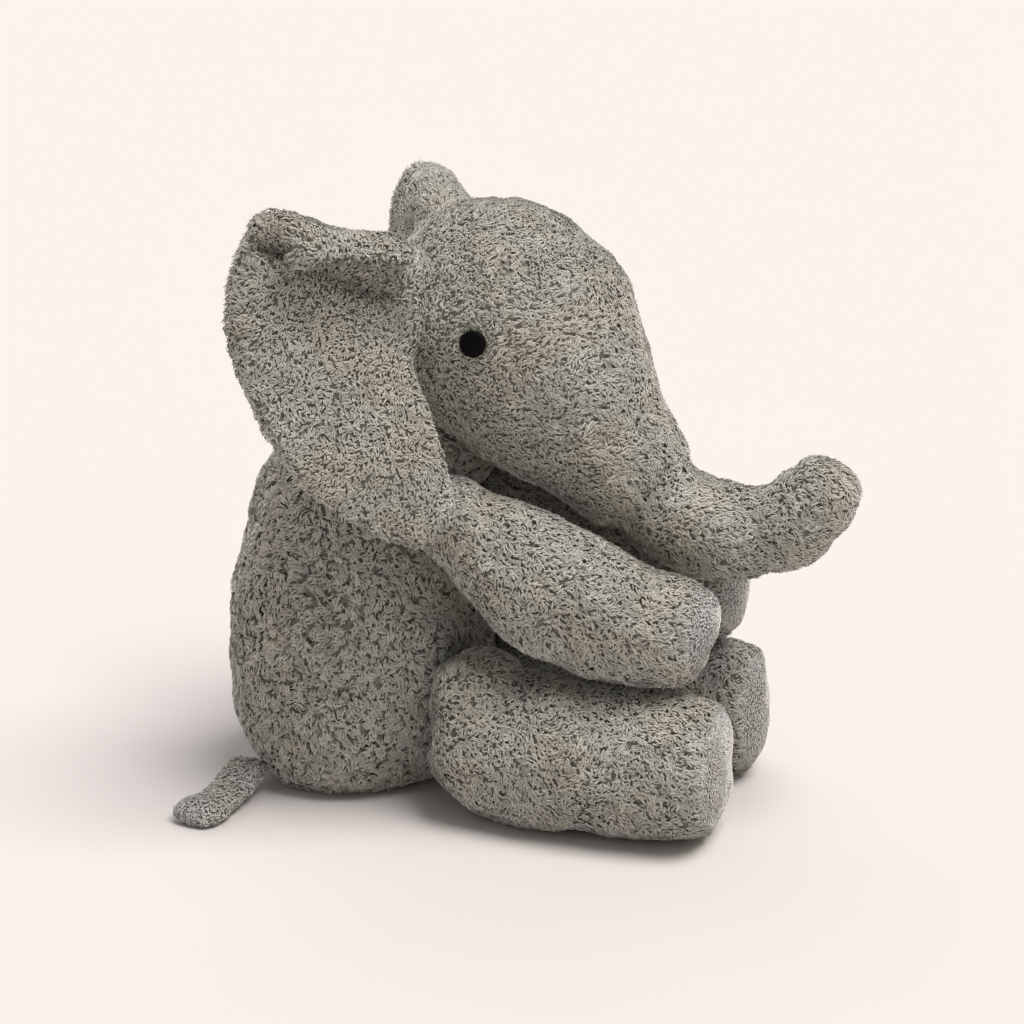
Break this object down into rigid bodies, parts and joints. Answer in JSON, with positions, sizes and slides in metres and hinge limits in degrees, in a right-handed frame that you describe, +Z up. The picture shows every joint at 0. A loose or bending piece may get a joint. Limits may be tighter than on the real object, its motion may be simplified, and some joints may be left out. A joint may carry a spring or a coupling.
{
  "type": "plush elephant",
  "caption": "Sitting soft elephant toy in curly grey plush with flapping ears, a bending trunk, swinging limbs and a strap tail.",
  "frame": {"origin": "on the floor under the middle of the seat panel", "axes": "+Z up, the toy faces -Y, the toy's left side is +X"},
  "size_m": [0.2376, 0.3217, 0.3053],
  "materials": {
    "plush": "curly grey cotton plush, pile about 4 mm",
    "short_pile": "short smooth velour pile",
    "stuffing": "fibre filling",
    "pellets": "cotton bag of pellets",
    "eye": "matte black satin stitch"
  },
  "bodies": {
    "torso": {"body_cover_left": "plush", "body_cover_right": "plush", "seat_panel": "plush", "pellet_bag": "pellets", "body_stuffing": "stuffing"},
    "head": {"head_side_left": "plush", "head_side_right": "plush", "head_gusset": "plush", "head_stuffing": "stuffing", "eye_left": "eye", "eye_right": "eye"},
    "trunk_base": {"trunk_base_left": "plush", "trunk_base_right": "plush", "trunk_base_stuffing": "stuffing"},
    "trunk_end": {"trunk_end_left": "plush", "trunk_end_right": "plush", "trunk_end_stuffing": "stuffing", "trunk_tip_pad": "plush"},
    "tail": {"tail_strap": "short_pile", "tail_tip": "short_pile"},
    "ear_left": {"ear_left_front": "plush", "ear_left_padding": "stuffing", "ear_left_back": "plush"},
    "arm_left": {"arm_left_outer": "plush", "arm_left_inner": "plush", "arm_left_stuffing": "stuffing", "arm_left_paw_pad": "short_pile"},
    "leg_left": {"leg_left_outer": "plush", "leg_left_inner": "plush", "leg_left_stuffing": "stuffing", "leg_left_sole_pad": "short_pile"},
    "ear_right": {"ear_right_front": "plush", "ear_right_padding": "stuffing", "ear_right_back": "plush"},
    "arm_right": {"arm_right_outer": "plush", "arm_right_inner": "plush", "arm_right_stuffing": "stuffing", "arm_right_paw_pad": "short_pile"},
    "leg_right": {"leg_right_outer": "plush", "leg_right_inner": "plush", "leg_right_stuffing": "stuffing", "leg_right_sole_pad": "short_pile"}
  },
  "joints": [
    {"name": "neck_nod", "type": "hinge", "parent": "torso", "child": "head", "pos_m": [0, -0.04, 0.196], "axis": [-1, 0, 0], "range_deg": [0, 18], "stiffness_Nm_per_rad": 1.5},
    {"name": "trunk_root_bend", "type": "hinge", "parent": "head", "child": "trunk_base", "pos_m": [0, -0.157, 0.159], "axis": [-1, 0, 0], "range_deg": [-2, 14], "stiffness_Nm_per_rad": 0.3},
    {"name": "trunk_tip_bend", "type": "hinge", "parent": "trunk_base", "child": "trunk_end", "pos_m": [0, -0.206, 0.1425], "axis": [-1, 0, 0], "range_deg": [-2, 14], "stiffness_Nm_per_rad": 0.2},
    {"name": "tail_lift", "type": "hinge", "parent": "torso", "child": "tail", "pos_m": [-0.038, 0.041, 0.012], "axis": [0, 0.7071, -0.7071], "range_deg": [0, 40], "stiffness_Nm_per_rad": 0.02},
    {"name": "ear_right_flap", "type": "hinge", "parent": "head", "child": "ear_right", "pos_m": [-0.049, -0.048, 0.23], "axis": [-0.0575, -0.0575, -0.9967], "range_deg": [-4, 30], "stiffness_Nm_per_rad": 0.1},
    {"name": "shoulder_right_swing", "type": "hinge", "parent": "torso", "child": "arm_right", "pos_m": [-0.044, -0.066, 0.152], "axis": [-0.8, 0, -0.6], "range_deg": [0, 24], "stiffness_Nm_per_rad": 0.4},
    {"name": "hip_right_swing", "type": "hinge", "parent": "torso", "child": "leg_right", "pos_m": [-0.044, -0.092, 0.037], "axis": [1, 0, 0], "range_deg": [0, 40], "stiffness_Nm_per_rad": 0.5},
    {"name": "ear_left_flap", "type": "hinge", "parent": "head", "child": "ear_left", "pos_m": [0.049, -0.048, 0.23], "axis": [-0.0575, 0.0575, 0.9967], "range_deg": [-4, 30], "stiffness_Nm_per_rad": 0.1},
    {"name": "shoulder_left_swing", "type": "hinge", "parent": "torso", "child": "arm_left", "pos_m": [0.044, -0.066, 0.152], "axis": [-0.8, 0, 0.6], "range_deg": [0, 24], "stiffness_Nm_per_rad": 0.4},
    {"name": "hip_left_swing", "type": "hinge", "parent": "torso", "child": "leg_left", "pos_m": [0.044, -0.092, 0.037], "axis": [1, 0, 0], "range_deg": [0, 40], "stiffness_Nm_per_rad": 0.5}
  ],
  "couplings": [
    {"joint": "trunk_tip_bend", "follows": "trunk_root_bend", "ratio": 1}
  ]
}
